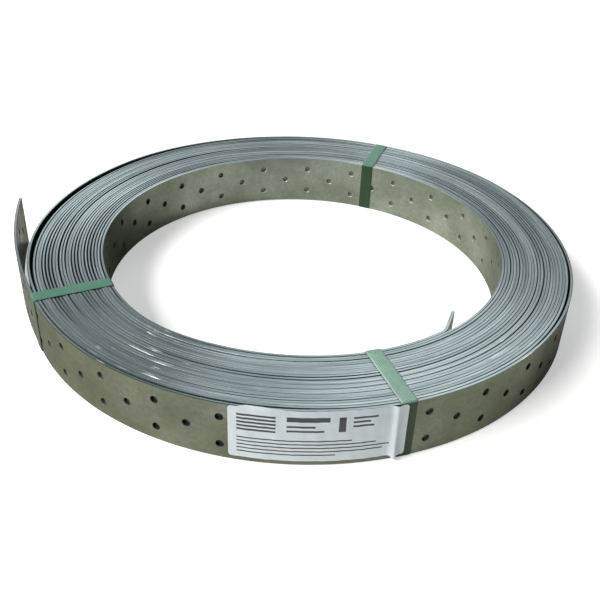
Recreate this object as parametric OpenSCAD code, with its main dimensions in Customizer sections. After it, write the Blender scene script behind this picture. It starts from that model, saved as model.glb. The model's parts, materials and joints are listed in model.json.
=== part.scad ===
// Wind bracing strap: a 25 m coil of perforated steel strap, lying flat.
// The origin is the centre of the bore in the plane of the coil's lower end.
// Angles are in plan, anticlockwise from +X. Going clockwise, the strap winds outwards.

/* [Strap] */
// width of the strap, which is the height of the coil
strap_w = 40; // [30:1:60]
// thickness of the strap
strap_t = 2; // [1.5:0.1:3]

/* [Coil] */
// radius of the bore
bore_r = 145; // [120:1:160]
// turns wound tightly between the bore and the loose outer lap
pack_turns = 22; // [16:1:26]
// air left between two turns of the pack
turn_gap = 0.18; // [0.1:0.01:0.4]
// depth to which the air between two turns is cut into each end
gap_depth = 1.5; // [0.5:0.1:3]
// width of that cut, a little wider than the air deep inside the pack
gap_w = 0.35; // [0.2:0.05:0.6]
// how far the loose outer lap lies off the bore's centre
lap_lean = 1.8; // [1:0.1:3]
// direction in which it leans, where it stands clear of the pack
lap_lean_dir = 144; // [90:1:200]

/* [Outer end] */
// direction at which the outer end springs off the coil, just before the left band
tail_from = 213; // [212:0.5:222]
// radius to which it has sprung open
tail_bend_r = 400; // [300:10:800]
// length of the free outer end along the strap
tail_l = 165; // [120:1:200]

/* [Inner end] */
// direction at which the inner end leaves the bore's wall
flap_from = 308; // [290:1:330]
// angle by which it is bent in towards the centre
flap_turn = 31; // [10:1:45]
// inside radius of that bend
flap_bend_r = 12; // [6:1:25]
// straight length after the bend
flap_l = 19.5; // [12:0.5:35]

/* [Nail holes] */
// diameter of the punched holes
hole_d = 5; // [4:0.1:6]
// distance between two columns of holes along the strap
hole_pitch = 20; // [15:1:30]
// distance between the two holes of a pair, across the strap
hole_row = 20; // [12:1:26]
// first column on the outer end, from the strap's cut edge
outer_first = 17.7; // [8:0.1:30]
// first column on the inner end, from the strap's cut edge
inner_first = 5.5; // [4:0.5:20]

/* [Tying bands] */
// width of the plastic bands round the ring
band_w = 10; // [8:0.5:16]
// thickness of the bands
band_t = 0.6; // [0.4:0.1:1]
// direction of the left band
left_dir = 206; // [200:0.5:215]
// how far its centre line passes beside the bore's centre
left_skew = 9.4; // [-12:0.2:12]
// direction of the front band
front_dir = 291; // [288:0.5:300]
// how far its centre line passes beside the bore's centre
front_skew = -7.8; // [-12:0.2:12]
// direction of the back band
back_dir = 72; // [55:0.5:85]
// how far its centre line passes beside the bore's centre
back_skew = -10.6; // [-12:0.2:12]

/* [Label] */
// direction of the label's free left edge
label_from = 259.3; // [250:0.1:270]
// how far its right edge reaches past the middle of the front band
label_over = 0.6; // [-2:0.1:3]
// height of the label
label_h = 36.5; // [20:0.5:38]
// space between the label and the strap's upper edge
label_top = 0.5; // [0.2:0.1:5]
// thickness of the label
label_t = 0.3; // [0.2:0.05:0.5]
// radius of its corners
label_corner_r = 3; // [1:0.5:5]

/* [Hidden] */
$fn = 96;
EPS = 0.01;
// how deep a free end is seated in the turn that it leaves
seat = 0.05;
turn_pitch = strap_t + turn_gap;
pack_r = bore_r + pack_turns * turn_pitch;
// the lap bites this deep into the pack on the side where they touch
lap_bite = 0.15;
lap_r = pack_r - lap_bite + lap_lean + strap_t;
lap_mid_r = lap_r - strap_t / 2;
lap_x = lap_lean * cos(lap_lean_dir);
lap_y = lap_lean * sin(lap_lean_dir);
// centre of the bend to which the free outer end has sprung open
tail_x = lap_x + (lap_r - seat - tail_bend_r) * cos(tail_from);
tail_y = lap_y + (lap_r - seat - tail_bend_r) * sin(tail_from);
// a hole goes through the strap and the air behind it
punch_l = strap_t + turn_gap;
flap_mid_r = flap_bend_r + strap_t / 2;
flap_bend_l = flap_turn * PI / 180 * flap_mid_r;
// flats that stand for the round of that bend
bend_steps = 8;
// columns of holes run this near to a cut edge or to the next lap
hole_margin = hole_d;
label_mid_z = strap_w - label_top - label_h / 2;
band_clear = 0.05;
// the front band's middle on the outer wall
front_mid = front_dir + asin(front_skew / lap_r);
label_to = front_mid + label_over * 180 / PI / lap_r;

// a round wall about the vertical, from the floor of the coil to its top
module ring(outer_r, inner_r, height) {
    difference() {
        cylinder(r = outer_r, h = height);
        translate([0, 0, -1])
            cylinder(r = inner_r, h = height + 2);
    }
}

// the tightly wound turns, with the air between them cut into both ends
module pack() {
    rotate_extrude()
        difference() {
            translate([bore_r, 0])
                square([pack_r - bore_r, strap_w]);
            for (turn = [1 : pack_turns - 1])
                for (z = [-EPS, strap_w - gap_depth])
                    translate([bore_r + turn * turn_pitch - gap_w / 2, z])
                        square([gap_w, gap_depth + EPS]);
        }
}

// moves to the strap's outer face, s along the outer end from where it springs off,
// with +X pointing out of the coil; a negative s is back along the outer lap
module on_outer_turn(s) {
    bend = max(s, 0) * 180 / PI / tail_bend_r;
    lap = max(-s, 0) * 180 / PI / lap_mid_r;
    translate([lap_x, lap_y, 0])
        rotate([0, 0, tail_from + lap])
            translate([lap_r - seat - tail_bend_r, 0, 0])
                rotate([0, 0, -bend])
                    translate([tail_bend_r, 0, 0])
                        children();
}

// the free outer end, a wide bend that leaves the lap's outer half
module tail() {
    bend = tail_l * 180 / PI / tail_bend_r;
    difference() {
        on_outer_turn(tail_l)
            translate([-tail_bend_r, 0, 0])
                rotate_extrude(angle = bend)
                    translate([tail_bend_r - strap_t, 0])
                        square([strap_t, strap_w]);
        translate([lap_x, lap_y, -1])
            cylinder(r = lap_mid_r, h = strap_w + 2);
    }
}

// moves to the strap's inner face, s from the inner end's cut edge, with +X into the strap
module on_inner_turn(s) {
    flap_s = min(s, flap_l);
    bend_s = max(min(s - flap_l, flap_bend_l), 0);
    wall_s = max(s - flap_l - flap_bend_l, 0);
    if (wall_s > 0)
        rotate([0, 0, flap_from - wall_s * 180 / PI / (bore_r + strap_t / 2)])
            translate([bore_r, 0, 0])
                children();
    else
        rotate([0, 0, flap_from])
            translate([bore_r - flap_bend_r + seat, 0, 0])
                rotate([0, 0, flap_turn - bend_s * 180 / PI / flap_mid_r])
                    translate([flap_bend_r, flap_l - flap_s, 0])
                        children();
}

// one face of the inner end in plan: the bend at radius r, then the straight run
function flap_face(r) = concat(
    [for (i = [0 : bend_steps]) let (a = flap_turn * i / bend_steps) r * [cos(a), sin(a)]],
    [r * [cos(flap_turn), sin(flap_turn)] + flap_l * [-sin(flap_turn), cos(flap_turn)]]
);

// a list in the opposite order
function reversed(list) = [for (i = [len(list) - 1 : -1 : 0]) list[i]];

// the free inner end: bent out of the bore's wall and then straight
module flap() {
    rotate([0, 0, flap_from])
        translate([bore_r - flap_bend_r + seat, 0, 0])
            linear_extrude(strap_w)
                polygon(concat(
                    flap_face(flap_bend_r + strap_t),
                    reversed(flap_face(flap_bend_r))
                ));
}

// one column of nail holes from X = 0, a pair or a single one; into is 1 or -1 along X
module hole_column(pair, into) {
    rows = pair ? [-hole_row / 2, hole_row / 2] : [0];
    for (row = rows)
        translate([-into, 0, strap_w / 2 + row])
            rotate([0, 90 * into, 0])
                cylinder(d = hole_d, h = punch_l + 1, $fn = 24);
}

// the punched holes of the outer lap and its free end
module outer_holes() {
    outer_l = tail_l + 2 * PI * lap_mid_r;
    for (i = [0 : floor((outer_l - outer_first - hole_margin) / hole_pitch)])
        on_outer_turn(tail_l - outer_first - i * hole_pitch)
            hole_column(i % 2 == 1, -1);
}

// the punched holes of the innermost turn and its free end
module inner_holes() {
    inner_l = flap_l + flap_bend_l + 2 * PI * bore_r;
    for (i = [0 : floor((inner_l - inner_first - hole_margin) / hole_pitch)])
        on_inner_turn(inner_first + i * hole_pitch)
            hole_column(i % 2 == 1, 1);
}

module strap_coil() {
    color("#8d979b")
        difference() {
            union() {
                pack();
                translate([lap_x, lap_y, 0])
                    ring(lap_r, lap_r - strap_t, strap_w);
                tail();
                flap();
            }
            outer_holes();
            inner_holes();
        }
}

// the strip of the ring that a band covers, wider by grow on each side
module band_strip(dir, skew, grow) {
    half_w = band_w / 2 + grow;
    rotate([0, 0, dir])
        translate([bore_r / 2, skew - half_w, -strap_w])
            cube([lap_r, 2 * half_w, 3 * strap_w]);
}

// the coil's smooth form with an outer wall of radius r about x and y, larger by band_t
// all round, with round edges
module wrapped_coil(x, y, r) {
    height = strap_w + 2 * band_t;
    difference() {
        translate([x, y, -band_t])
            rotate_extrude() {
                square([r, height]);
                translate([r, band_t])
                    square([band_t, height - 2 * band_t]);
                for (z = [band_t, height - band_t])
                    translate([r, z])
                        circle(r = band_t, $fn = 32);
            }
        translate([0, 0, -band_t - 1])
            cylinder(r = bore_r - band_t, h = height + 2);
    }
}

// a flat plastic band drawn tight round the ring's section, over an outer wall of radius r
// about x and y
module tie_band(dir, skew, x = lap_x, y = lap_y, r = lap_r) {
    difference() {
        intersection() {
            wrapped_coil(x, y, r);
            band_strip(dir, skew, 0);
        }
        translate([x, y, 0])
            cylinder(r = r, h = strap_w);
    }
    intersection() {
        difference() {
            cylinder(r = bore_r, h = strap_w);
            translate([0, 0, -1])
                cylinder(r = bore_r - band_t, h = strap_w + 2);
        }
        band_strip(dir, skew, 0);
    }
}

// the left band holds down the root of the free outer end
module tie_band_left() {
    color("#6aa07f")
        tie_band(left_dir, left_skew, tail_x, tail_y, tail_bend_r);
}

module tie_band_front() {
    color("#6aa07f")
        tie_band(front_dir, front_skew);
}

module tie_band_back() {
    color("#6aa07f")
        tie_band(back_dir, back_skew);
}

// the label's flat outline, X along the wall and Y up
module label_outline(width) {
    x = width / 2 - label_corner_r;
    y = label_h / 2 - label_corner_r;
    square([width, 2 * y], center = true);
    square([2 * x, label_h], center = true);
    for (sx = [-1, 1], sy = [-1, 1])
        translate([sx * x, sy * y])
            circle(r = label_corner_r, $fn = 32);
}

// a paper label on the outer wall, whose right end lies over the front band
module label() {
    half = (label_to - label_from) / 2;
    color("#cfdadf")
        difference() {
            intersection() {
                translate([lap_x, lap_y, 0])
                    rotate([90, 0, (label_from + label_to) / 2 + 90])
                        translate([0, label_mid_z, 0])
                            linear_extrude(lap_r + 2 * strap_t)
                                label_outline(2 * lap_r * sin(half));
                union() {
                    translate([lap_x, lap_y, 0])
                        ring(lap_r + label_t, lap_r, strap_w);
                    intersection() {
                        translate([lap_x, lap_y, 0])
                            ring(lap_r + band_t + band_clear + label_t, lap_r, strap_w);
                        band_strip(front_dir, front_skew, label_t + band_clear);
                    }
                }
            }
            intersection() {
                translate([lap_x, lap_y, 0])
                    cylinder(r = lap_r + band_t + band_clear, h = strap_w);
                band_strip(front_dir, front_skew, band_clear);
            }
        }
}

strap_coil();
tie_band_left();
tie_band_front();
tie_band_back();
label();
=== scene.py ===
"""Looks of a coil of perforated steel strap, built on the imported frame.

All lengths are in metres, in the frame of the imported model: the origin is the centre of the bore at the
coil's lower end. Plan angles are in degrees, anticlockwise from +X. The strap winds outwards clockwise.
A turn number counts turns along the strap from 0, where its inner end leaves the bore's wall.
"""
import json
import math

import bpy
import numpy as np
from mathutils import Euler, Matrix, Vector


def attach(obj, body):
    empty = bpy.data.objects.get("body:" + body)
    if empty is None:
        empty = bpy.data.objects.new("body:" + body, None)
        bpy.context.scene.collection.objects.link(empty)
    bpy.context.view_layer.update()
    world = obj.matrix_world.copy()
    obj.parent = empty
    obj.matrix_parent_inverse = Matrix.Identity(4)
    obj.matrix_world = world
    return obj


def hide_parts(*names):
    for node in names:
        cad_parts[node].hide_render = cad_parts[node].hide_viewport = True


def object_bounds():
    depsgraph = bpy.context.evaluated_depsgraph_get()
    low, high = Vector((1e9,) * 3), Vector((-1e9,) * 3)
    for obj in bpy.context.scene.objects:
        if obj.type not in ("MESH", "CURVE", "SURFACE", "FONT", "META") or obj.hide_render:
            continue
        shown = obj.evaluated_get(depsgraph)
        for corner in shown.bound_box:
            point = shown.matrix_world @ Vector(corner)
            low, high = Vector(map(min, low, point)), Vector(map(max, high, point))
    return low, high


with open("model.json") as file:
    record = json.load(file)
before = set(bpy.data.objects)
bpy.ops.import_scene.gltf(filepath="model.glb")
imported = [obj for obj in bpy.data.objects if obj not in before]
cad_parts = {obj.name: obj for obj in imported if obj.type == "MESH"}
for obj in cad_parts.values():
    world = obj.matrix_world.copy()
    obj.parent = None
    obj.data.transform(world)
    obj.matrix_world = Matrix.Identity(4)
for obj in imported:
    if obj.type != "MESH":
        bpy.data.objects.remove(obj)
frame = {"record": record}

CAD_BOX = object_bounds()
MOUNTS = {mount["name"]: mount for mount in frame["record"]["mounts"]}
RNG = np.random.default_rng(3)


def unit(degrees):
    """The plan vector of length 1 in a direction."""
    return np.array([math.cos(math.radians(degrees)), math.sin(math.radians(degrees))])


# ---------------------------------------------------------------- sizes of the strap
BORE_R = MOUNTS["bore"]["dims"]["r_mm"] / 1000
STRAP_W = MOUNTS["bore"]["dims"]["length_mm"] / 1000
HOLE_R = MOUNTS["nail_pair_1"]["dims"]["hole_r_mm"] / 1000
STRAP_T = 0.002
HOLE_PITCH = 0.020       # from one column of holes to the next
OUTER_FIRST = 0.0177     # first column of holes from the outer cut edge
INNER_FIRST = 0.0055     # first column of holes from the inner cut edge

START = 307.5            # where the strap's inner end leaves the bore's wall
WHOLE_TURNS = 23         # from there to the root of the outer end, without the part of a turn that is left
LOOSE = (22.25, 22.36)   # the turns over which the outermost lap comes loose from the one within
CLOSEST = 0.00003        # least air between two turns
FLAP_TURN = 31.0         # how far the free inner end is bent into the bore
FLAP_BEND_R = 0.013      # to the middle of the strap's thickness
FLAP_L = 0.0200          # the straight part of the free inner end
FLAP_STEP = 0.0005       # between the worked-out points of its middle line

LAP_R = 0.19661          # outer face of the loose outermost lap, about its own centre
LAP_C = 0.0018 * unit(144)
TAIL_FROM = 213.0        # where the outer end springs off, about the lap's centre
TAIL_BEND_R = 0.400      # outer face of the sprung outer end
TAIL_L = 0.165
TAIL_STEP = 0.001        # between the worked-out points of its middle line
TAIL_C = LAP_C + (LAP_R - TAIL_BEND_R) * unit(TAIL_FROM)

EDGE = 0.00022           # bevel along the strap's slit edges
RIM = 0.00012            # bevel round a punched hole
PROUD = 0.00015          # about how far a turn stands above or below the others
LEAN = 0.05              # about how steeply a turn's top edge slopes across its thickness
TURN_STEPS = 720         # points of the worked-out spiral in a turn
RING_STEPS = 180         # rings of the mesh in a turn of the hidden part of the strap

# mean air between two turns in millimetres, by plan direction
AIR = {0: 0.130, 45: 0.250, 90: 0.314, 120: 0.297, 160: 0.182, 190: 0.193, 205: 0.190,
       240: 0.140, 270: 0.100, 300: 0.085, 340: 0.075}
# how unlike each other the gaps are, by plan direction
UNEVEN = {0: 0.80, 60: 0.90, 120: 1.10, 165: 0.50, 205: 0.50, 240: 0.80, 300: 1.15, 335: 0.90}
# where a wall isn't round: middle direction, half width in degrees, metres outwards
BORE_DENTS = [(230, 19, 0.0031)]
LAP_DENTS = [(62, 24, -0.0019), (134, 15, 0.0009)]

# ---------------------------------------------------------------- finish of the strap and painted light on it, by plan direction
# how much dark dirt and painted shade the gaps carry, and the one just within the outermost turn
GAP_GRIME_AND_SHADE = {0: 0.85, 40: 0.80, 70: 0.60, 110: 0.65, 150: 1.15, 200: 1.25, 214: 0.90, 240: 0.75,
         300: 0.70, 335: 0.90}
LAP_GRIME_AND_SHADE = {200: 0.00, 222: 1.20, 240: 1.50, 262: 1.50, 285: 0.60, 310: 0.00}
SHADED_GAP = 0.00013      # a gap this wide carries just as much dirt and painted shade as its table says
# painted light and shade: how bright the slit edges are painted, and how bright the walls are painted
EDGE_PAINTED_LIGHT = {0: 0.87, 20: 0.86, 40: 1.00, 60: 1.48, 80: 1.05, 100: 0.88, 120: 1.12, 150: 1.55, 180: 1.48,
             200: 1.28, 220: 0.76, 240: 0.62, 260: 1.18, 285: 1.56, 300: 1.46, 320: 1.20, 340: 0.96}
WALL_PAINTED_LIGHT = {20: 1.02, 60: 1.02, 80: 0.90, 105: 0.81, 130: 1.00, 150: 0.80, 170: 0.40, 200: 0.32,
             209: 0.70, 224: 1.18, 240: 1.12, 256: 1.16, 264: 0.98, 286: 0.96, 294: 1.12, 302: 1.14,
             315: 1.12, 326: 0.52, 340: 0.34, 352: 0.50}
TAIL_EDGE_PAINTED_SHADE = 0.62    # painted shade: how bright the edges of the sprung outer end are beside those of the coil
# painted light and shade in the holes: how bright the turns are that show through the punched holes
HOLE_LIGHT = {0: 0.10, 30: 0.45, 60: 0.90, 110: 0.80, 130: 0.25, 150: 0.00, 205: 0.00, 215: 0.90, 234: 0.85,
         243: 0.10, 285: 0.10, 293: 0.90, 306: 0.80, 316: 0.10, 350: 0.00}
# where the worn edges carry bright streaks of painted glint: middle direction, half width in degrees
RUBBED_GLINTS = [(240, 14), (312, 10), (62, 9), (150, 10)]

# ---------------------------------------------------------------- sizes of the bands and the label
BAND_W = 0.010
BAND_T = 0.0006
BAND_LIFT = 0.00045      # a band's inner face above the coil, where it lies on the highest turns
BAND_UNDER = 0.00002     # and below the coil
BAND_SEAT = 0.00003      # how far it is sunk into the walls, so that no gap shows
BAND_FOLD_R = 0.0009
BAND_ARCH = 0.00012      # how far a band is arched across, on top of the coil
# each band's direction, how far its middle line misses the bore's centre, and how pale its top is, as fade
# and painted sheen
BANDS = {"left": (206.0, 0.0094, 0.40), "front": (291.0, -0.0078, 1.00), "back": (72.0, -0.0106, 0.50)}

# the label's ends and the fold in it are directions about the lap's centre
LABEL_FROM = 259.3
LABEL_TO = 288.9
LABEL_FOLD = 287.0
LABEL_Z = (0.0030, 0.0399)
LABEL_T = 0.00012
LABEL_OFF = 0.00010      # from the lap to the label's back where it is flattest
LABEL_RIPPLE = 0.00012
LABEL_CORNER_R = 0.0017
LABEL_STEP = 0.0009      # about how far the lines of its mesh are apart
# plain printed bars on the label: from, to, low, high in millimetres from its lower left corner
PRINT = ([(5, 27, 20.5 + 2.6 * k, 21.9 + 2.6 * k) for k in range(5)]
         + [(33, 57, 29.0, 32.4), (33, 49, 24.8, 26.2), (33, 54, 21.6, 23.0)]
         + [(62, 66, 21.6, 32.4), (70, 84, 30.6, 32.0), (70, 80, 27.6, 29.0), (70, 82, 24.6, 26.0)]
         + [(5, length, 4.2 + 2.6 * k, 5.1 + 2.6 * k) for k, length in enumerate((61, 88, 92, 84, 70))])

# ---------------------------------------------------------------- light and view
# lamps: plan direction, height in degrees, distance, width and height of the panel, watts, colour
KEY = (206.0, 46.0, 8.0, 5.0, 2.6, 825.0, (1.0, 0.99, 0.97))
BACK = (82.0, 35.0, 6.0, 2.5, 1.5, 46.0, (0.94, 0.98, 1.0))
WORLD_FILL = 0.07        # the world's strength as a light
WORLD_SEEN = 0.60        # and in reflections
FLOOR_SIZE = 4
FLOOR_DROP = 0.00003     # the floor lies this far under the CAD solids
FLOOR_SEEN = 0.06        # the floor's glow in reflections
FLOOR_LIFT = 0.40        # and how much more of it the camera sees
# the photograph's viewpoint: its place, the degrees looked down, turned and rolled, and the lens
VIEW_FROM = (-0.00105, -0.53197, 0.33189)
VIEW_DOWN, VIEW_TURN, VIEW_ROLL = 33.166, -0.093, 2.257
VIEW_LENS_MM = 48.783


# ---------------------------------------------------------------- walls of the coil
def smoothstep(low, high, x):
    """0 below low, 1 above high, and a smooth rise between them."""
    s = np.clip((np.asarray(x, float) - low) / (high - low), 0, 1)
    return s * s * (3 - 2 * s)


def around(table, degrees):
    """A value from a table by plan direction, with a smooth change between its entries."""
    known = sorted(table)
    ring = np.array([known[-1] - 360] + known + [known[0] + 360])
    values = np.array([table[k % 360] for k in ring])
    at = np.mod(degrees, 360)
    i = np.clip(np.searchsorted(ring, at, side="right") - 1, 0, len(ring) - 2)
    s = (at - ring[i]) / (ring[i + 1] - ring[i])
    s = s * s * (3 - 2 * s)
    return values[i] * (1 - s) + values[i + 1] * s


def widths_away(degrees, middle, width):
    """How many half widths a direction lies from the middle of a place on the coil."""
    return (np.mod(np.asarray(degrees, float) - middle + 180, 360) - 180) / width


def dented(degrees, dents):
    """How far outwards a wall's dents and bulges push it in a plan direction."""
    return sum(depth * np.exp(-widths_away(degrees, middle, width) ** 2) for middle, width, depth in dents)


def about(centre, radius, degrees):
    """Distance from the bore's centre to a round wall about another centre."""
    c = np.cos(np.radians(degrees)) * centre[0] + np.sin(np.radians(degrees)) * centre[1]
    return c + np.sqrt(radius ** 2 - centre @ centre + c * c)


def bore_wall(degrees):
    """Distance from the bore's centre to its wall."""
    return BORE_R + dented(degrees, BORE_DENTS)


def lap_wall(degrees):
    """Distance from the bore's centre to the outermost lap's outer face."""
    return about(LAP_C, LAP_R, degrees) + dented(degrees, LAP_DENTS)


def tail_wall(degrees):
    """Distance from the bore's centre to the outer face of the sprung outer end."""
    return about(TAIL_C, TAIL_BEND_R, degrees)


# ---------------------------------------------------------------- the strap's run
def wander(t, slow, fast, count):
    """A seeded smooth noise of about unit size along the turns t."""
    total = np.zeros_like(t)
    for _ in range(count):
        total += np.sin(2 * np.pi * RNG.uniform(slow, fast) * t + RNG.uniform(0, 2 * np.pi))
    return total * math.sqrt(2 / count)


def air_between(t, degrees):
    """The air under each turn: uneven along the strap, with the mean over the turns kept in each direction.
    The bulge in the bore's wall takes its room from all of the gaps alike."""
    uneven = np.exp(around(UNEVEN, degrees) * wander(t, 0.7, 2.6, 9))
    one_turn = t[:TURN_STEPS + 1]
    mean = np.array([np.mean(np.interp(np.arange(1, WHOLE_TURNS) + p, t, uneven)) for p in one_turn])
    phase = t % 1
    mean_at = np.interp(phase, one_turn, mean) - (mean[-1] - mean[0]) * (phase - 0.5)
    air = around(AIR, degrees) * 0.001 - dented(degrees, BORE_DENTS) / (WHOLE_TURNS - 1)
    return np.maximum(air * uneven / mean_at, CLOSEST)


def spiral():
    """The middle of the strap's thickness from the inner end to the tail's root: turn numbers, x, y, and
    the gap between each turn and the one within it."""
    root = LAP_C + (LAP_R - STRAP_T / 2) * unit(TAIL_FROM)
    end = WHOLE_TURNS + (START - math.degrees(math.atan2(root[1], root[0])) % 360) / 360
    t = np.append(np.arange(0, int(end * TURN_STEPS) + 1) / TURN_STEPS, end)
    degrees = START - 360 * t
    air = air_between(t, degrees)
    radius = np.zeros_like(t)
    gap = np.full_like(t, CLOSEST)
    # over the last fifth of its first turn the strap climbs onto its own start
    first = t < 1
    climb = smoothstep(0.80, 1, t[first]) * (STRAP_T + air[TURN_STEPS])
    radius[first] = bore_wall(degrees[first]) + STRAP_T / 2 + climb
    lap = lap_wall(degrees) - STRAP_T / 2
    loose = smoothstep(*LOOSE, t)
    for i in range(TURN_STEPS, len(t)):
        last = i == len(t) - 1
        under = np.interp(t[i] - 1, t[:i], radius[:i]) if last else radius[i - TURN_STEPS]
        wound = under + STRAP_T + air[i]
        radius[i] = max(wound + (lap[i] - wound) * loose[i], under + STRAP_T + CLOSEST)
        gap[i] = radius[i] - under - STRAP_T
    angle = np.radians(degrees)
    return t, radius * np.cos(angle), radius * np.sin(angle), gap


def tail_line(back):
    """The middle line of the sprung outer end, at distances back from its root."""
    turned = math.radians(TAIL_FROM) - back / TAIL_BEND_R
    return TAIL_C + (TAIL_BEND_R - STRAP_T / 2) * np.stack([np.cos(turned), np.sin(turned)], 1)


def flap_line(here):
    """The middle line of the free inner end from its root: bent into the bore, then straight."""
    points = []
    heading = math.radians(START + 90)
    bend_l = FLAP_BEND_R * math.radians(FLAP_TURN)
    for k in range(int(round((bend_l + FLAP_L) / FLAP_STEP))):
        heading += FLAP_STEP / FLAP_BEND_R if k * FLAP_STEP < bend_l else 0
        here = here + FLAP_STEP * np.array([math.cos(heading), math.sin(heading)])
        points.append(here)
    return np.array(points)


class Run:
    """The strap's middle line from the outer cut edge to the inner one, by length u along it."""

    def __init__(self):
        t, x, y, gap = spiral()
        self.wound = t, gap
        self.turns = t[-1]
        back = np.arange(TAIL_L, TAIL_STEP / 2, -TAIL_STEP)
        flap = flap_line(np.array([x[0], y[0]]))
        self.middle = np.concatenate([tail_line(back), np.stack([x, y], 1)[::-1], flap])
        tail_turns = t[-1] + back / (2 * np.pi * LAP_R)
        self.turn = np.concatenate([tail_turns, t[::-1], -FLAP_STEP * np.arange(1, len(flap) + 1)])
        lengths = np.hypot(*np.diff(self.middle, axis=0).T)
        self.u = np.append(0, np.cumsum(lengths))
        self.length = self.u[-1]
        ahead = np.gradient(self.middle, axis=0)
        ahead /= np.linalg.norm(ahead, axis=1)[:, None]
        self.outwards = np.stack([ahead[:, 1], -ahead[:, 0]], 1)
        # the free inner end stands steadier than the turns
        settled = smoothstep(-0.1, 0.05, self.turn)
        self.rise = PROUD * wander(self.turn, 0.15, 1.3, 8) * settled
        self.lean = LEAN * wander(self.turn, 0.3, 2.1, 8) * settled

    def at(self, u):
        """(x, y, outward normal x, y, rise, lean) at the lengths u from the outer cut edge."""
        x, y, nx, ny = [np.interp(u, self.u, part) for part in (*self.middle.T, *self.outwards.T)]
        size = np.hypot(nx, ny)
        return x, y, nx / size, ny / size, np.interp(u, self.u, self.rise), np.interp(u, self.u, self.lean)

    def wear_and_painted_light(self, u, off):
        """How much dirt and painted shade the gap beside each vertex carries and how much painted glint its
        edge has, then the painted light and shade of the edges, of the walls, and of the turns seen through
        the holes. A gap belongs to the turn outside it."""
        turn = np.interp(u, self.u, self.turn)
        turn_outside = turn + (off > 0)
        beside = np.interp(turn_outside, *self.wound, left=0, right=0.0001)
        degrees = START - 360 * turn
        # dirt and painted shade in the gaps, more where a gap is wider
        grime_and_shade = np.clip(beside / SHADED_GAP, 0.58, 1.30) * around(GAP_GRIME_AND_SHADE, degrees)
        in_lap = turn_outside > self.turns - 1
        grime_and_shade = np.where(in_lap, np.maximum(grime_and_shade, around(LAP_GRIME_AND_SHADE, degrees)), grime_and_shade)
        # painted glints along worn streaks of the edges
        rubbed_glint = sum(np.exp(-widths_away(degrees, middle, width) ** 2) for middle, width in RUBBED_GLINTS)
        # painted light and shade by plan direction on the edges, the walls and in the holes
        edge, wall, hole_light = [around(table, degrees) for table in (EDGE_PAINTED_LIGHT, WALL_PAINTED_LIGHT, HOLE_LIGHT)]
        # painted shade on the edges of the sprung outer end
        edge = edge * (TAIL_EDGE_PAINTED_SHADE + (1 - TAIL_EDGE_PAINTED_SHADE) * smoothstep(TAIL_L - 0.06, TAIL_L, u))
        return (grime_and_shade, rubbed_glint, np.zeros_like(turn)), (edge, wall, hole_light)

    def u_of_turn(self, turn):
        """The length along the strap at which it has that many turns under it."""
        return float(np.interp(-turn, -self.turn, self.u))


# ---------------------------------------------------------------- mesh of the strap
# heights of the mesh lines up a face, and the lines on which single holes and pairs are centred
ACROSS = [EDGE, 0.006, 0.008, 0.010, 0.012, 0.014, 0.016, 0.018, 0.020,
          0.022, 0.024, 0.026, 0.028, 0.030, 0.032, 0.034, STRAP_W - EDGE]
SINGLE, PAIR = [8], [3, 13]
# mesh lines along the strap, from a column of holes
CELL = [-0.010, -0.007, -0.004, -0.002, 0.0, 0.002, 0.004, 0.007]
LEAST_CELL = 0.0004      # no mesh line is nearer than this to the end of a stretch
# the mesh points round the square patch that holds a hole, as steps along and up from its middle
RIM_STEPS = [(2, 0), (2, 1), (2, 2), (1, 2), (0, 2), (-1, 2), (-2, 2), (-2, 1),
             (-2, 0), (-2, -1), (-2, -2), (-1, -2), (0, -2), (1, -2), (2, -2), (2, -1)]
FACE, SLIT_EDGE, CUT, WITHIN = 0, 1, 2, 3    # the four materials of the strap


class Sheet:
    """Collects the vertices and faces of the strap. A vertex is (length along, height, offset outwards)."""

    def __init__(self, run):
        self.run, self.at, self.faces, self.part = run, [], [], []

    def add(self, u, z, off):
        """Adds a vertex and gives its number."""
        self.at.append((u, z, off))
        return len(self.at) - 1

    def face(self, corners, part=FACE):
        """Adds a face of one of the four materials."""
        self.faces.append(corners)
        self.part.append(part)

    def mesh(self, name):
        """The mesh laid along the strap's run, without the vertices that no face uses."""
        used, flat = np.unique(np.concatenate(self.faces), return_inverse=True)
        faces = np.split(flat, np.cumsum([len(face) for face in self.faces])[:-1])
        at = np.array(self.at)[used]
        x, y, nx, ny, rise, lean = self.run.at(at[:, 0])
        top_edge = at[:, 1] > STRAP_W - 2 * EDGE
        height = at[:, 1] + rise + np.where(top_edge, lean * at[:, 2], 0)
        points = np.stack([x + nx * at[:, 2], y + ny * at[:, 2], height], 1)
        mesh = bpy.data.meshes.new(name)
        mesh.from_pydata(points.tolist(), [], [face.tolist() for face in faces])
        # the strip's dirt, painted shade, painted glints and painted light go onto its vertices
        wear_and_painted_light, painted_light = self.run.wear_and_painted_light(at[:, 0], at[:, 2])
        keep(mesh, "strip", at)
        keep(mesh, "wear_and_painted_light", np.stack(wear_and_painted_light, 1))
        keep(mesh, "painted_light", np.stack(painted_light, 1))
        mesh.polygons.foreach_set("material_index", np.array(self.part, np.int32))
        return mesh


def keep(mesh, name, vectors):
    """Stores a vector on each vertex of a mesh for its materials to read."""
    data = mesh.attributes.new(name, "FLOAT_VECTOR", "POINT").data
    data.foreach_set("vector", np.array(vectors, np.float32).ravel())


def finished(mesh, sharp, materials):
    """Gives a mesh its materials, and smooth shading up to an angle in degrees."""
    for material in materials:
        mesh.materials.append(material)
    mesh.polygons.foreach_set("use_smooth", np.ones(len(mesh.polygons), bool))
    mesh.set_sharp_from_angle(angle=math.radians(sharp))
    return mesh


def stand_for(mesh, node):
    """Puts a mesh in the scene in place of a CAD node, on the part's one body."""
    piece = bpy.data.objects.new(node + "_looks", mesh)
    bpy.context.scene.collection.objects.link(piece)
    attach(piece, "root")
    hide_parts(node)
    return piece


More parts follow.
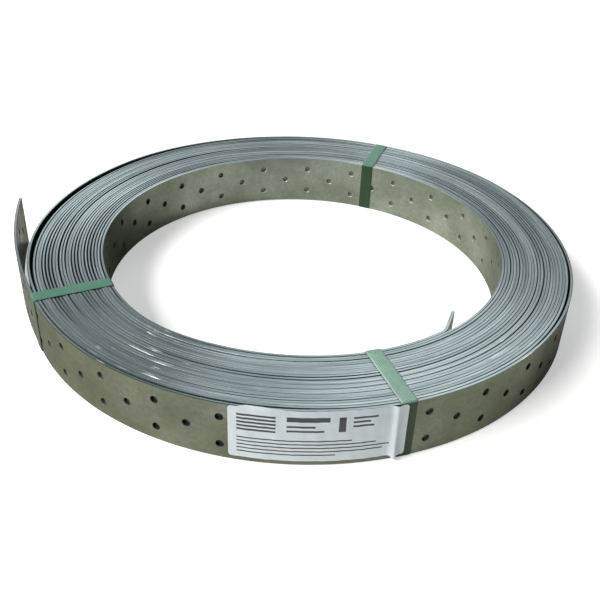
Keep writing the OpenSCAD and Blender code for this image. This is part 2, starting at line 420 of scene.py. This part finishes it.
def section(heights):
    """The strap's outline as (height, offset), in order: outer face up, top edge, inner face down, and
    bottom edge."""
    half, inset = STRAP_T / 2, STRAP_T / 2 - EDGE
    return ([(z, half) for z in heights] + [(STRAP_W, inset), (STRAP_W, -inset)]
            + [(z, -half) for z in reversed(heights)] + [(0.0, -inset), (0.0, inset)])


def side_of(ring, k):
    """The vertices of a punched stretch's ring along one side of the strap's eight-sided outline."""
    n = (len(ring) - 4) // 2
    corners = [0, n - 1, n, n + 1, n + 2, 2 * n + 1, 2 * n + 2, 2 * n + 3, 2 * n + 4]
    return (ring + ring[:1])[corners[k]:corners[k + 1] + 1]


def opposite(row):
    """The place in a punched stretch's ring of the inner face's vertex at a row of ACROSS."""
    return 2 * len(ACROSS) + 1 - row


def join(sheet, rings, open_at, flats=FACE):
    """Quads between neighbouring rings, apart from the patches in open_at, which are (ring, side) pairs."""
    n = len(rings[0])
    faces = (n - 4) // 2
    for a, (low, high) in enumerate(zip(rings, rings[1:])):
        for k in range(n):
            if (a, k) in open_at:
                continue
            flat = k < faces - 1 or faces + 2 <= k < 2 * faces + 1
            j = (k + 1) % n
            sheet.face([low[k], high[k], high[j], low[j]], flats if flat else SLIT_EDGE)


def cap(sheet, ring, first):
    """Closes a cut end of the strap with quads between the two faces."""
    n = (len(ring) - 4) // 2
    outer, inner = ring[:n], ring[n + 2:2 * n + 2][::-1]
    rows = [(ring[-1], ring[-2])] + list(zip(outer, inner)) + [(ring[n], ring[n + 1])]
    for (a, b), (c, d) in zip(rows, rows[1:]):
        sheet.face([a, c, d, b] if first else [a, b, d, c], CUT)


def plain_length(sheet, lengths, before, after):
    """A stretch of strap with no holes of its own, as the turns inside the coil, between the end rings of
    two punched stretches."""
    outline = section([EDGE, STRAP_W - EDGE])
    rings = [[sheet.add(u, z, off) for z, off in outline] for u in lengths]
    join(sheet, rings, set(), WITHIN)
    for k in range(8):
        j = (k + 1) % 8
        part = WITHIN if k in (0, 4) else SLIT_EDGE
        low, high = side_of(before, k), side_of(after, k)
        sheet.face([low[0], rings[0][k], rings[0][j]] + low[:0:-1], part)
        sheet.face([rings[-1][k]] + high + [rings[-1][j]], part)


def punched_hole(sheet, rings, column, a, row):
    """One hole: a ring of quads in each face, a small round rim, and the wall between the faces."""
    half = STRAP_T / 2
    wide = HOLE_R + RIM
    count = len(RIM_STEPS)
    angles = [2 * math.pi * k / count for k in range(count)]
    z = ACROSS[row]
    circles = []
    for radius, off in ((wide, half), (HOLE_R, half - RIM), (HOLE_R, -half + RIM), (wide, -half)):
        circle = [(column + radius * math.cos(g), z + radius * math.sin(g)) for g in angles]
        circles.append([sheet.add(u, height, off) for u, height in circle])
    outer = [rings[a + da][row + dz] for da, dz in RIM_STEPS]
    inner = [rings[a + da][opposite(row + dz)] for da, dz in RIM_STEPS]
    for k in range(count):
        j = (k + 1) % count
        sheet.face([outer[k], outer[j], circles[0][j], circles[0][k]])
        sheet.face([inner[j], inner[k], circles[3][k], circles[3][j]])
        for one, two in zip(circles, circles[1:]):
            sheet.face([one[k], one[j], two[j], two[k]], CUT)


def punched_length(sheet, columns, low, high):
    """A stretch of strap from length low to high, with its columns of holes: single ones in the middle and
    pairs in turn. Gives its rings of vertices."""
    lines = [column + step for column in columns for step in CELL]
    lines = [u for u in lines if low + LEAST_CELL < u < high - LEAST_CELL]
    lines = sorted(set([low] + lines + [high]))
    place = {round(u, 7): k for k, u in enumerate(lines)}
    outline = section(ACROSS)
    rings = [[sheet.add(u, z, off) for z, off in outline] for u in lines]
    open_at, holes = set(), []
    for i, column in enumerate(columns):
        a = place[round(column, 7)]
        for row in PAIR if i % 2 else SINGLE:
            holes.append((column, a, row))
            for da in range(-2, 2):
                for dz in range(-2, 2):
                    open_at.add((a + da, row + dz))
                    open_at.add((a + da, opposite(row + dz + 1)))
    join(sheet, rings, open_at)
    for hole in holes:
        punched_hole(sheet, rings, *hole)
    return rings


def strap_coil(run):
    """The whole strap: its outer turn and tail, the turns within, and its inner turn and free inner end."""
    sheet = Sheet(run)
    count = int(run.u_of_turn(run.turns - 1.0) / HOLE_PITCH)
    outer = [OUTER_FIRST + HOLE_PITCH * i for i in range(count)]
    outer_end = outer[-1] + HOLE_PITCH / 2
    outer_rings = punched_length(sheet, outer, 0.0, outer_end)
    count = int((run.length - run.u_of_turn(1.0)) / HOLE_PITCH)
    inner = [run.length - INNER_FIRST - HOLE_PITCH * i for i in range(count)]
    inner_start = inner[-1] - HOLE_PITCH / 2
    inner_rings = punched_length(sheet, inner, inner_start, run.length)
    low, high = np.interp([outer_end, inner_start], run.u, run.turn)
    steps = np.arange(math.floor(low * RING_STEPS) - 1, math.ceil(high * RING_STEPS) + 1, -1)
    lengths = [run.u_of_turn(t) for t in steps / RING_STEPS]
    plain_length(sheet, lengths, outer_rings[-1], inner_rings[0])
    cap(sheet, outer_rings[0], True)
    cap(sheet, inner_rings[-1], False)
    materials = [steel_face(), steel_edge(), steel_cut(), steel_within()]
    mesh = finished(sheet.mesh("strap_coil_looks"), 32, materials)
    return stand_for(mesh, "strap_coil")


# ---------------------------------------------------------------- bands
def wall_reach(direction, side, wall):
    """How far along a direction a wall lies, at a distance aside from the line through the bore's centre."""
    reach = wall(direction)
    for _ in range(3):
        reach = math.sqrt(wall(direction + math.degrees(math.atan2(side, reach))) ** 2 - side ** 2)
    return reach


def band_outline(near, far):
    """The band's inner face round the ring's section as (reach, height) points, and each point's outward
    (reach, height) direction. It starts at the foot of the bore's wall and ends under the ring."""
    low, high = -BAND_UNDER, STRAP_W + BAND_LIFT
    turn_r = BAND_FOLD_R
    points, outward = [], []

    def straight(a, b, out, count):
        for k in range(count):
            s = k / count
            points.append((a[0] + (b[0] - a[0]) * s, a[1] + (b[1] - a[1]) * s))
            outward.append(out)

    def corner(centre, start):
        for k in range(5):
            angle = math.radians(start - 90 * k / 5)
            out = (math.cos(angle), math.sin(angle))
            points.append((centre[0] + turn_r * out[0], centre[1] + turn_r * out[1]))
            outward.append(out)

    straight((near, low + turn_r), (near, high - turn_r), (-1, 0), 12)
    corner((near + turn_r, high - turn_r), 180)
    straight((near + turn_r, high), (far - turn_r, high), (0, 1), 40)
    corner((far - turn_r, high - turn_r), 90)
    straight((far, high - turn_r), (far, low + turn_r), (1, 0), 12)
    corner((far - turn_r, low + turn_r), 0)
    straight((far - turn_r, low), (near + turn_r, low), (0, -1), 12)
    corner((near + turn_r, low + turn_r), -90)
    return np.array(points), np.array(outward)


def tie_band(name):
    """A flat plastic band drawn round the ring's section, slightly arched across, with thin round edges."""
    direction, skew, fade_and_sheen = BANDS[name]
    along, aside = unit(direction), unit(direction + 90)
    # lines across the band, as shares of its width, and how much of its thickness lies under each
    spread = [-0.5, -0.485, -0.44, -0.33, -0.2, -0.07, 0.07, 0.2, 0.33, 0.44, 0.485, 0.5]
    profile = [(v, 1 - 0.5 * (abs(v) / 0.5) ** 16) for v in spread] + [(v, 0.06) for v in reversed(spread)]
    rows, strip = [], []
    for v, up in profile:
        side = skew + v * BAND_W
        near = wall_reach(direction, side, bore_wall) + BAND_SEAT
        far = wall_reach(direction, side, tail_wall if name == "left" else lap_wall) - BAND_SEAT
        points, outward = band_outline(near, far)
        arch = BAND_ARCH * math.cos(math.pi * v)
        points = points + outward * (BAND_T * up + arch * (outward[:, 1:] > 0.5))
        run = np.append(0, np.cumsum(np.linalg.norm(np.diff(points, axis=0), axis=1)))
        rows.append([(*(r * along + side * aside), z) for r, z in points])
        # the strip keeps how pale the top is painted, as fade and painted sheen
        strip.append([(u, v * BAND_W, fade_and_sheen * out) for u, out in zip(run, outward[:, 1])])
    wide, count = len(profile), len(rows[0])
    faces = []
    for k in range(wide):
        j = (k + 1) % wide
        for a in range(count):
            b = (a + 1) % count
            faces.append([k * count + a, k * count + b, j * count + b, j * count + a])
    mesh = bpy.data.meshes.new("tie_band_" + name + "_looks")
    mesh.from_pydata([p for row in rows for p in row], [], faces)
    keep(mesh, "strip", strip)
    return stand_for(finished(mesh, 50, [green_plastic()]), "tie_band_" + name)


# ---------------------------------------------------------------- label
def grid_lines(size, edges_mm):
    """Mesh lines from 0 to size, about a step apart, with one on each edge given in millimetres."""
    fixed = sorted({0.0, size} | {edge / 1000 for edge in edges_mm if 0 < edge / 1000 < size})
    lines = [0.0]
    for a, b in zip(fixed, fixed[1:]):
        count = max(1, round((b - a) / LABEL_STEP))
        lines += [a + (b - a) * k / count for k in range(1, count + 1)]
    return lines


def label_relief(degrees, up):
    """How far the label stands off the wall, over the band, in a fold beside it and in ripples, and how far
    its edges leave their line: up where the left one has lifted, down at the foot of the fold."""
    over_band = (BAND_T + 0.0002) * float(smoothstep(LABEL_FOLD - 0.1, LABEL_FOLD + 0.9, degrees))
    # the fold stands out most at its foot, which also hangs below the lower edge
    fold = (0.0016 + 0.0013 * (1 - up)) * math.exp(-abs((degrees - LABEL_FOLD) / 0.52) ** 1.6)
    foot = math.exp(-((degrees - LABEL_FOLD + 0.1) / 0.35) ** 2) * (1 - float(smoothstep(0.0, 0.12, up)))
    # at the left the upper edge reaches up and leans over the coil
    curl = float(smoothstep(260.4, 262.3, degrees) * (1 - smoothstep(264.0, 270.5, degrees)))
    curl *= float(smoothstep(0.955, 1.0, up))
    ripple = LABEL_RIPPLE * math.sin(degrees * 1.9 + 5 * up) * math.sin(degrees * 0.8 + 2)
    relief = over_band + fold + ripple + LABEL_RIPPLE - 0.0006 * curl ** 2
    return relief, 0.0012 * curl - 0.0014 * foot


def label():
    """The paper label stuck on the outer wall, its right end over the front band."""
    long = math.radians(LABEL_TO - LABEL_FROM) * LAP_R
    tall = LABEL_Z[1] - LABEL_Z[0]
    xs = grid_lines(long, [edge for bar in PRINT for edge in bar[:2]])
    ys = grid_lines(tall, [edge for bar in PRINT for edge in bar[2:]])
    verts, place = [], []
    for layer in (0, 1):
        for x in xs:
            inset = LABEL_CORNER_R - min(x, long - x, LABEL_CORNER_R)
            short = LABEL_CORNER_R - math.sqrt(LABEL_CORNER_R ** 2 - inset ** 2)
            degrees = LABEL_FROM + math.degrees(x / LAP_R)
            for y in ys:
                relief, lift = label_relief(degrees, y / tall)
                z = LABEL_Z[0] + short + y * (tall - 2 * short) / tall + lift
                off = LABEL_OFF + relief + LABEL_T * layer
                verts.append((*(LAP_C + (LAP_R + off) * unit(degrees)), z))
                place.append((x, y, layer))
    faces, ink = [], []
    wide, top = len(ys), len(xs) * len(ys)
    for i in range(len(xs) - 1):
        for j in range(wide - 1):
            quad = [i * wide + j, (i + 1) * wide + j, (i + 1) * wide + j + 1, i * wide + j + 1]
            faces.append([k + top for k in quad])
            faces.append(quad[::-1])
            x, y = (xs[i] + xs[i + 1]) / 2 * 1000, (ys[j] + ys[j + 1]) / 2 * 1000
            ink += [any(a < x < b and c < y < d for a, b, c, d in PRINT), False]
    rim = ([i * wide for i in range(len(xs))] + [(len(xs) - 1) * wide + j for j in range(1, wide)]
           + [i * wide + wide - 1 for i in range(len(xs) - 2, -1, -1)] + list(range(wide - 2, 0, -1)))
    for a, b in zip(rim, rim[1:] + rim[:1]):
        faces.append([a, b, b + top, a + top])
        ink.append(False)
    mesh = bpy.data.meshes.new("label_looks")
    mesh.from_pydata(verts, [], faces)
    keep(mesh, "strip", place)
    mesh.polygons.foreach_set("material_index", np.array(ink, np.int32))
    sheet = label_paper("label_paper", (0.62, 0.69, 0.72), (0.70, 0.76, 0.79))
    printed = label_paper("label_ink", (0.022, 0.026, 0.030), (0.060, 0.066, 0.072))
    return stand_for(finished(mesh, 50, [sheet, printed]), "label")


# ---------------------------------------------------------------- materials
class Nodes:
    """Short ways to make and link the nodes of one material."""

    def __init__(self, name):
        self.material = bpy.data.materials.new(name)
        self.material.use_nodes = True
        self.tree = self.material.node_tree
        self.shader = self.tree.nodes["Principled BSDF"]

    def put(self, value, socket):
        """Links a socket's value to another socket, or sets a constant on it."""
        if isinstance(value, bpy.types.NodeSocket):
            self.tree.links.new(value, socket)
        else:
            socket.default_value = value

    def set(self, node, key, value):
        """Gives a node's input a value or a link."""
        self.put(value, node.inputs[key])

    def node(self, kind, **inputs):
        """A new node with some inputs given by name."""
        node = self.tree.nodes.new(kind)
        for key, value in inputs.items():
            self.set(node, key.replace("_", " "), value)
        return node

    def place(self, scale, name="strip"):
        """An attribute of the mesh, such as the place on the strip, with each of its three parts scaled."""
        spot = self.tree.nodes.new("ShaderNodeAttribute")
        spot.attribute_name = name
        scaled = self.tree.nodes.new("ShaderNodeVectorMath")
        scaled.operation = "MULTIPLY"
        scaled.inputs[1].default_value = scale
        self.tree.links.new(spot.outputs["Vector"], scaled.inputs[0])
        return scaled.outputs["Vector"]

    def part(self, name, axis, scale=1.0):
        """One of the three parts of an attribute, scaled."""
        parts = self.node("ShaderNodeSeparateXYZ", Vector=self.place((scale, scale, scale), name))
        return parts.outputs[axis]

    def noise(self, scale, detail, rough=0.5):
        """A noise over the strip, with a scale for each of the position's three parts."""
        spot = self.place(scale)
        node = self.node("ShaderNodeTexNoise", Vector=spot, Scale=1.0, Detail=detail, Roughness=rough)
        return node.outputs["Fac"]

    def ramp(self, factor, stops):
        """A colour ramp from (position, colour or grey) stops."""
        node = self.tree.nodes.new("ShaderNodeValToRGB")
        self.tree.links.new(factor, node.inputs["Fac"])
        while len(node.color_ramp.elements) < len(stops):
            node.color_ramp.elements.new(0.5)
        for element, (position, colour) in zip(node.color_ramp.elements, stops):
            element.position = position
            grey = isinstance(colour, float)
            element.color = (colour, colour, colour, 1) if grey else (*colour, 1)
        return node.outputs["Color"]

    def mix(self, factor, one, two, blend="MIX"):
        """Two colours mixed by a factor."""
        node = self.tree.nodes.new("ShaderNodeMix")
        node.data_type = "RGBA"
        node.blend_type = blend
        self.put(factor, node.inputs[0])
        self.put((*one, 1) if isinstance(one, tuple) else one, node.inputs[6])
        self.put((*two, 1) if isinstance(two, tuple) else two, node.inputs[7])
        return node.outputs[2]

    def times(self, one, two):
        """Two colours multiplied."""
        return self.mix(1.0, one, two, "MULTIPLY")

    def math(self, operation, one, two=0.0):
        """A sum on one or two values."""
        node = self.tree.nodes.new("ShaderNodeMath")
        node.operation = operation
        self.put(one, node.inputs[0])
        self.put(two, node.inputs[1])
        return node.outputs[0]

    def bump(self, height, strength, distance):
        """Small relief on the surface."""
        node = self.node("ShaderNodeBump", Height=height, Strength=strength, Distance=distance)
        self.tree.links.new(node.outputs["Normal"], self.shader.inputs["Normal"])


STRAP_TO_ONE = 0.04      # scales a length along the strap so that its 25 m go from 0 to 1


def steel_face():
    """Galvanised faces: dull olive grey with soft patches, rolled streaks and a faint spangle, and painted
    light and shade on the walls by plan direction. The sprung outer end is the darkest, in painted shade, and
    the turns are lighter towards the bore."""
    m = Nodes("galvanised_face")
    dull, middle, pale = (0.130, 0.142, 0.105), (0.185, 0.200, 0.156), (0.265, 0.280, 0.230)
    colour = m.ramp(m.noise((20, 22, 0), 4, 0.60), [(0.28, dull), (0.50, middle), (0.74, pale)])
    streaks = m.ramp(m.noise((9, 620, 0), 3, 0.6), [(0.3, 0.36), (0.7, 0.64)])
    colour = m.mix(0.12, colour, streaks, "OVERLAY")
    spangle = m.ramp(m.noise((330, 330, 0), 2), [(0.35, 0.38), (0.65, 0.62)])
    colour = m.mix(0.30, colour, spangle, "OVERLAY")
    # the sprung outer end is darkened as painted shade
    tail, lap, bore = (0.58, 0.58, 0.42), (0.86, 0.86, 0.80), (1.35, 1.38, 1.38)
    inwards = m.ramp(m.part("strip", 0, STRAP_TO_ONE), [(0.0066, tail), (0.0090, lap), (0.90, bore)])
    # painted light and shade on the walls by plan direction
    colour = m.times(m.times(colour, inwards), m.part("painted_light", 1))
    m.set(m.shader, "Base Color", colour)
    m.shader.inputs["Metallic"].default_value = 0.85
    m.shader.inputs["Specular Tint"].default_value = (0.60, 0.60, 0.55, 1)
    m.set(m.shader, "Roughness", m.ramp(m.noise((35, 80, 0), 3, 0.6), [(0.3, 0.26), (0.7, 0.44)]))
    m.bump(m.noise((34, 14, 0), 2, 0.4), 0.55, 0.0020)
    return m.material


def steel_edge():
    """Slit edges: bluish grey with fine streaks along each turn, painted light and shade by plan direction,
    painted glints on worn streaks, and dirt with painted shade in the grooves between turns.
    """
    m = Nodes("galvanised_edge")
    long_streak = m.noise((8, 0, 450), 3, 0.65)
    dull, middle, pale = (0.155, 0.192, 0.202), (0.258, 0.300, 0.308), (0.440, 0.480, 0.480)
    colour = m.ramp(long_streak, [(0.28, dull), (0.50, middle), (0.74, pale)])
    fine_streak = m.ramp(m.noise((90, 0, 3000), 2), [(0.3, 0.3), (0.7, 0.7)])
    colour = m.mix(0.35, colour, fine_streak, "OVERLAY")
    # painted light and shade on the edges by plan direction
    colour = m.times(colour, m.part("painted_light", 0))
    # painted glints: bright streaks on worn edges, which are also smoother
    rubbed_glint = m.math("ADD", m.noise((36, 0, 260), 2), m.part("wear_and_painted_light", 1, 0.12))
    rubbed_glint = m.ramp(rubbed_glint, [(0.72, 0.0), (0.80, 1.0)])
    colour = m.mix(rubbed_glint, colour, (0.56, 0.59, 0.57))
    # dirt and painted shade reach in from both corners of the edge, further where there is more of them
    grime_and_shade = m.part("wear_and_painted_light", 0)
    aside = m.math("ABSOLUTE", m.part("strip", 2, 1000))
    reach = m.math("ADD", m.math("MULTIPLY", grime_and_shade, 0.30), 0.12)
    near = m.math("SUBTRACT", 1.0, reach)
    dark = m.node("ShaderNodeMapRange", Value=aside, From_Min=near, From_Max=m.math("ADD", near, 0.20))
    strength = m.math("ADD", m.math("MULTIPLY", grime_and_shade, 0.42), 0.46)
    dark = m.math("MULTIPLY", dark.outputs["Result"], strength)
    # the dark colour of dirt and painted shade in the grooves
    m.set(m.shader, "Base Color", m.mix(dark, colour, (0.008, 0.021, 0.019)))
    m.shader.inputs["Metallic"].default_value = 0.80
    rough = m.ramp(long_streak, [(0.30, 0.66), (0.72, 0.50)])
    m.set(m.shader, "Roughness", m.mix(rubbed_glint, rough, (0.37, 0.37, 0.37)))
    m.shader.inputs["Anisotropic"].default_value = 0.6
    tangent = m.tree.nodes.new("ShaderNodeTangent")
    tangent.direction_type = "RADIAL"
    tangent.axis = "Z"
    m.tree.links.new(tangent.outputs["Tangent"], m.shader.inputs["Tangent"])
    return m.material


def steel_cut():
    """Punched hole walls and cut ends: bare metal, brightest in the innermost turn and where light is
    painted into the holes by plan direction."""
    m = Nodes("cut_steel")
    bare = m.ramp(m.noise((900, 900, 300), 2), [(0.3, (0.48, 0.52, 0.50)), (0.7, (0.76, 0.79, 0.77))])
    inwards = m.ramp(m.part("strip", 0, STRAP_TO_ONE), [(0.05, 0.16), (0.90, 1.0)])
    # painted light and shade in the holes by plan direction
    hole_light = m.ramp(m.part("painted_light", 2), [(0.0, 0.20), (0.7, 1.0)])
    m.set(m.shader, "Base Color", m.times(m.times(bare, inwards), hole_light))
    m.shader.inputs["Metallic"].default_value = 0.25
    m.shader.inputs["Roughness"].default_value = 0.36
    return m.material


def steel_within():
    """Faces of the turns inside the coil: dark, and lighter where light is painted into the holes."""
    m = Nodes("dark_steel_within")
    darkest, dim_grey = (0.012, 0.018, 0.018), (0.070, 0.090, 0.090)
    dark = m.ramp(m.noise((120, 120, 0), 3, 0.6), [(0.35, darkest), (0.75, dim_grey)])
    # lighter where light is painted into the holes
    m.set(m.shader, "Base Color", m.mix(m.part("painted_light", 2), dark, (0.21, 0.23, 0.19)))
    m.shader.inputs["Metallic"].default_value = 0.40
    m.shader.inputs["Roughness"].default_value = 0.55
    return m.material


def green_plastic():
    """Embossed green strapping: pale on top of the coil from fade and painted sheen, with dust and painted
    glints, deep green down its sides.
    """
    if "green_strapping" in bpy.data.materials:
        return bpy.data.materials["green_strapping"]
    m = Nodes("green_strapping")
    # the top is pale from fade and painted sheen, the sides deep green
    fade_and_sheen = m.part("strip", 2)
    deep, half_pale, pale = (0.021, 0.053, 0.019), (0.080, 0.222, 0.155), (0.235, 0.395, 0.320)
    colour = m.ramp(fade_and_sheen, [(0.0, deep), (0.40, half_pale), (1.0, pale)])
    colour = m.times(colour, m.ramp(m.noise((60, 60, 0), 3, 0.6), [(0.3, 0.84), (0.7, 1.16)]))
    # pale band edges and specks: dust with painted highlights and glints
    rubbed_glint = m.ramp(m.math("ABSOLUTE", m.part("strip", 1, 100)), [(0.42, 0.0), (0.48, 0.30)])
    specks = m.ramp(m.noise((1500, 1500, 0), 2), [(0.58, 0.0), (0.70, 0.55)])
    dust_and_glints = m.math("MULTIPLY", m.math("ADD", rubbed_glint, specks), m.math("MULTIPLY", fade_and_sheen, fade_and_sheen))
    colour = m.mix(dust_and_glints, colour, (0.64, 0.72, 0.66))
    waffle = m.node("ShaderNodeTexVoronoi", Vector=m.place((850, 850, 0)), Scale=1.0, Randomness=0.15)
    pits = m.ramp(waffle.outputs["Distance"], [(0.10, 0.62), (0.60, 0.42)])
    m.set(m.shader, "Base Color", m.mix(0.5, colour, pits, "OVERLAY"))
    m.shader.inputs["Roughness"].default_value = 0.42
    m.shader.inputs["Specular IOR Level"].default_value = 0.35
    m.bump(waffle.outputs["Distance"], 0.8, 0.0005)
    return m.material


def label_paper(name, low, high):
    """Coated paper with a faint mottle, between two colours: the sheet itself or the ink on it."""
    m = Nodes(name)
    m.set(m.shader, "Base Color", m.ramp(m.noise((90, 90, 0), 3, 0.6), [(0.3, low), (0.7, high)]))
    m.shader.inputs["Roughness"].default_value = 0.45
    m.bump(m.noise((150, 150, 0), 2), 0.1, 0.0005)
    return m.material


# ---------------------------------------------------------------- stage
def seen_by_eye(tree):
    """1 for a ray from the camera, a mirror or through glass, and 0 for the light that falls on things."""
    path = tree.nodes.new("ShaderNodeLightPath")
    total = path.outputs["Is Camera Ray"]
    for name in ("Is Glossy Ray", "Is Transmission Ray"):
        most = tree.nodes.new("ShaderNodeMath")
        most.operation = "MAXIMUM"
        tree.links.new(total, most.inputs[0])
        tree.links.new(path.outputs[name], most.inputs[1])
        total = most.outputs[0]
    return total


def floor():
    """A pale floor with the coil's soft shadow on it. A faint glow, for the camera more than for
    reflections, lifts it to white."""
    bpy.ops.mesh.primitive_plane_add(size=FLOOR_SIZE, location=(0, 0, CAD_BOX[0][2] - FLOOR_DROP))
    plane = bpy.context.object
    plane.name = "floor"
    m = Nodes("pale_floor")
    m.shader.inputs["Base Color"].default_value = (0.88, 0.88, 0.87, 1)
    m.shader.inputs["Roughness"].default_value = 0.9
    path = m.tree.nodes.new("ShaderNodeLightPath")
    seen = m.math("MULTIPLY", seen_by_eye(m.tree), FLOOR_SEEN)
    seen = m.math("ADD", seen, m.math("MULTIPLY", path.outputs["Is Camera Ray"], FLOOR_LIFT))
    glow = m.node("ShaderNodeEmission", Strength=seen)
    add = m.tree.nodes.new("ShaderNodeAddShader")
    m.tree.links.new(m.shader.outputs["BSDF"], add.inputs[0])
    m.tree.links.new(glow.outputs["Emission"], add.inputs[1])
    m.tree.links.new(add.outputs["Shader"], m.tree.nodes["Material Output"].inputs["Surface"])
    plane.data.materials.append(m.material)


def area_light(name, panel):
    """A soft panel lamp that faces the coil from afar."""
    direction, height, distance, wide, tall, watts, colour = panel
    lamp = bpy.data.lights.new(name, "AREA")
    lamp.shape = "RECTANGLE"
    lamp.size, lamp.size_y = wide, tall
    lamp.energy = watts
    lamp.color = colour
    holder = bpy.data.objects.new(name, lamp)
    rise = math.radians(height)
    holder.location = distance * Vector((*(math.cos(rise) * unit(direction)), math.sin(rise)))
    holder.rotation_euler = (-holder.location).to_track_quat("-Z", "Y").to_euler()
    bpy.context.scene.collection.objects.link(holder)


def studio():
    """A soft key lamp from the left, a weak one from the back, and a world that is white to the camera,
    pale in reflections and dim as a light."""
    world = bpy.data.worlds.new("studio")
    world.use_nodes = True
    tree = world.node_tree
    back = tree.nodes["Background"]
    back.inputs["Color"].default_value = (0.91, 0.98, 1.0, 1)
    strength = tree.nodes.new("ShaderNodeMapRange")
    strength.inputs["To Min"].default_value = WORLD_FILL
    strength.inputs["To Max"].default_value = WORLD_SEEN
    tree.links.new(seen_by_eye(tree), strength.inputs["Value"])
    tree.links.new(strength.outputs["Result"], back.inputs["Strength"])
    white = tree.nodes.new("ShaderNodeBackground")
    white.inputs["Color"].default_value = (1, 1, 1, 1)
    path = tree.nodes.new("ShaderNodeLightPath")
    choose = tree.nodes.new("ShaderNodeMixShader")
    tree.links.new(path.outputs["Is Camera Ray"], choose.inputs[0])
    tree.links.new(back.outputs["Background"], choose.inputs[1])
    tree.links.new(white.outputs["Background"], choose.inputs[2])
    tree.links.new(choose.outputs["Shader"], tree.nodes["World Output"].inputs["Surface"])
    bpy.context.scene.world = world
    area_light("key", KEY)
    area_light("back", BACK)


def camera():
    """The photograph's viewpoint."""
    lens = bpy.data.cameras.new("camera")
    lens.lens = VIEW_LENS_MM
    lens.sensor_width = 36
    lens.clip_start = 0.01
    holder = bpy.data.objects.new("camera", lens)
    aim = Euler((math.radians(90 - VIEW_DOWN), 0, math.radians(VIEW_TURN))).to_matrix()
    roll = Matrix.Rotation(math.radians(VIEW_ROLL), 3, "Z")
    holder.matrix_world = Matrix.Translation(VIEW_FROM) @ (aim @ roll).to_4x4()
    bpy.context.scene.collection.objects.link(holder)
    bpy.context.scene.camera = holder


bpy.context.scene.view_settings.view_transform = "Standard"
camera()
studio()
floor()
strap_coil(Run())
for band in BANDS:
    tie_band(band)
label()
